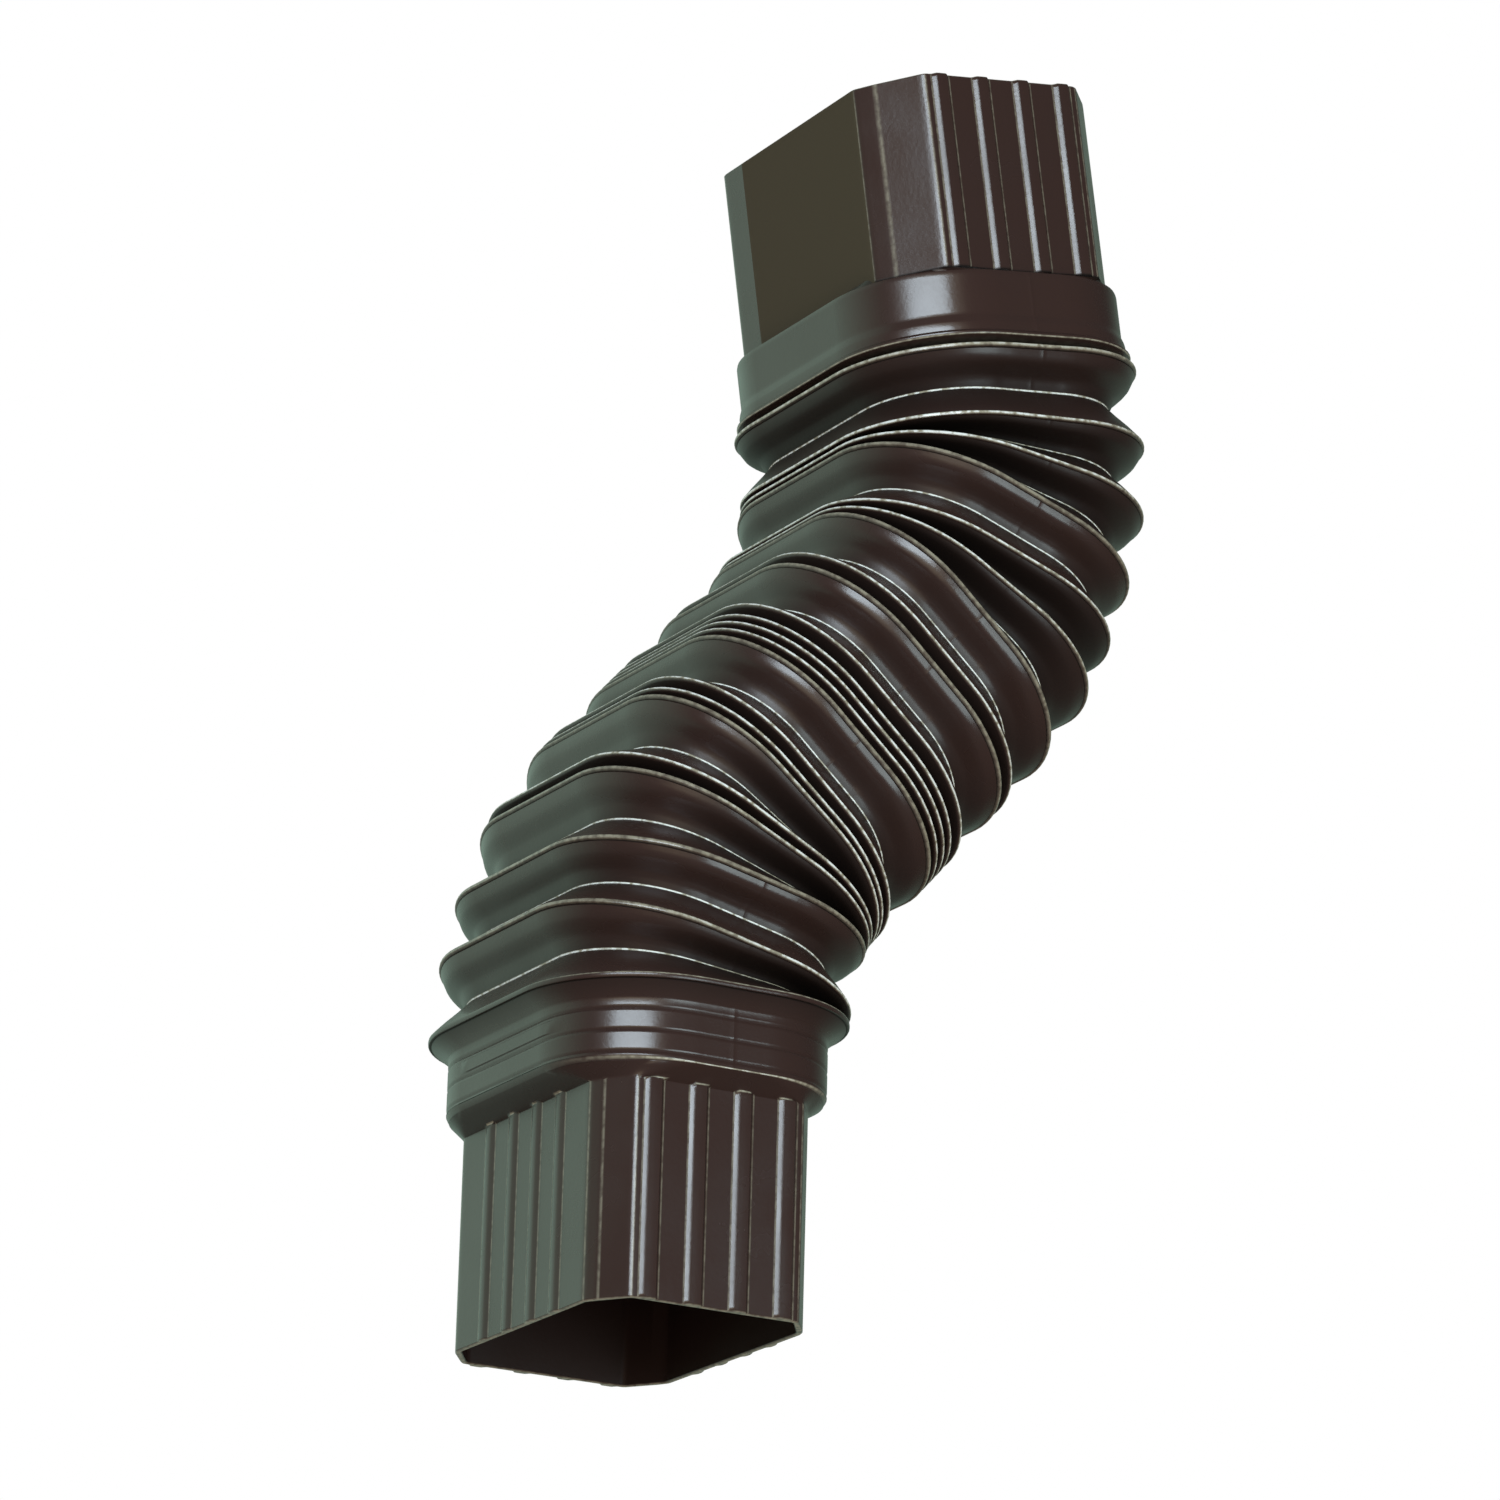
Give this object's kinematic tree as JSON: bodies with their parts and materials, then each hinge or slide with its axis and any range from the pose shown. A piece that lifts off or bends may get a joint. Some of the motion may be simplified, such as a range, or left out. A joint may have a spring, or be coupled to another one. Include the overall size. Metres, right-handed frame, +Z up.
{
  "type": "flexible downspout elbow",
  "caption": "Rectangular bellows pipe bent into an S between a ribbed inlet sleeve and a ribbed outlet spigot; it carries roof water past an eave or a step in a wall.",
  "frame": {"origin": "middle of the lower rim, where the outlet spigot ends", "axes": "+Z up along the outlet spigot; the S bends in the XZ plane with the inlet offset towards +X; +Y along the wide side"},
  "size_m": [0.1636, 0.105, 0.3256],
  "materials": {
    "brown_plastic": "semi-gloss, blow-moulded"
  },
  "bodies": {
    "root": {"flex_elbow": "brown_plastic"}
  },
  "joints": []
}
